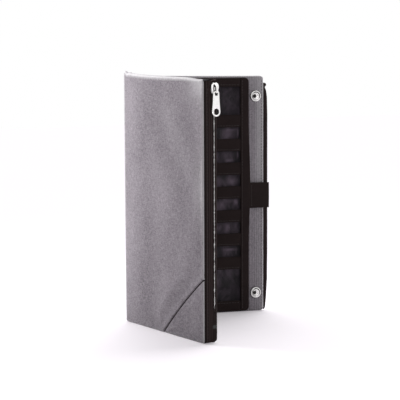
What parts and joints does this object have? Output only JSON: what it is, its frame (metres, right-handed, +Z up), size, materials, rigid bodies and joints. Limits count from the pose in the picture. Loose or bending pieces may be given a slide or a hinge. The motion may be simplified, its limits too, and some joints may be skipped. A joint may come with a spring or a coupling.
{
  "type": "travel wallet",
  "caption": "Tall cloth travel wallet standing open like a book, with a zipped pocket in its front cover, stepped card pockets, a pen loop and snap fasteners inside.",
  "frame": {"origin": "middle of the bounding box, on the surface that the wallet stands on", "axes": "+Z up along the spine, +X from the spine along the front cover to its zipped edge, front cover's outer cloth faces -Y"},
  "size_m": [0.1468, 0.1408, 0.225],
  "materials": {
    "grey_cloth": "heathered woven cloth",
    "dark_lining": "thin slightly shiny nylon",
    "black_tape": "matte woven tape",
    "grey_board": "hidden stiffener sheet",
    "bright_metal": "bright nickel plate"
  },
  "bodies": {
    "spine": {"spine_outer_panel": "grey_cloth", "spine_board": "grey_board", "spine_lining": "dark_lining"},
    "front_cover": {"front_outer_panel": "grey_cloth", "front_corner_patch": "grey_cloth", "front_board": "grey_board", "front_pocket_lining": "dark_lining", "front_pocket_shell": "dark_lining", "slip_pocket": "dark_lining", "slip_pocket_band": "black_tape", "zip_tape_outer": "black_tape", "zip_tape_inner": "black_tape", "zip_teeth_outer": "bright_metal", "zip_teeth_inner": "bright_metal", "zip_bottom_stop": "bright_metal", "zip_foot_closure": "black_tape", "zip_tape_end": "black_tape", "snap_stud_upper": "bright_metal", "snap_stud_lower": "bright_metal"},
    "back_cover": {"back_outer_panel": "grey_cloth", "back_board": "grey_board", "back_inner_facing": "grey_cloth", "organiser_backing": "dark_lining", "organiser_border_free": "black_tape", "organiser_border_fold": "black_tape", "organiser_border_top": "black_tape", "organiser_border_foot": "black_tape", "card_pocket_1": "dark_lining", "card_pocket_2": "dark_lining", "card_pocket_3": "dark_lining", "card_pocket_4": "dark_lining", "card_pocket_5": "dark_lining", "card_pocket_6": "dark_lining", "card_pocket_7": "dark_lining", "card_band_1": "black_tape", "card_band_2": "black_tape", "card_band_3": "black_tape", "card_band_4": "black_tape", "card_band_5": "black_tape", "card_band_6": "black_tape", "card_band_7": "black_tape", "snap_socket_upper": "bright_metal", "snap_socket_lower": "bright_metal", "pen_loop": "black_tape", "back_edge_piping": "black_tape"},
    "zip_slider": {"slider_body": "bright_metal", "slider_back_plate": "bright_metal"},
    "zip_pull": {"pull_tab": "bright_metal"}
  },
  "joints": [
    {"name": "front_fold", "type": "hinge", "parent": "spine", "child": "front_cover", "pos_m": [-0.06053, -0.06966, 0.1125], "axis": [0, 0, -1], "range_deg": [-36, 54]},
    {"name": "back_fold", "type": "hinge", "parent": "spine", "child": "back_cover", "pos_m": [-0.07258, -0.05308, 0.1125], "axis": [0, 0, 1], "range_deg": [-36, 54]},
    {"name": "zip_slide", "type": "slide", "parent": "front_cover", "child": "zip_slider", "axis": [0, 0, -1], "range_m": [0, 0.193]},
    {"name": "pull_swing", "type": "hinge", "parent": "zip_slider", "child": "zip_pull", "pos_m": [0.07153, -0.06066, 0.2145], "axis": [0, -1, 0], "range_deg": [0, 130]}
  ],
  "couplings": [
    {"joint": "back_fold", "follows": "front_fold", "ratio": 1}
  ]
}
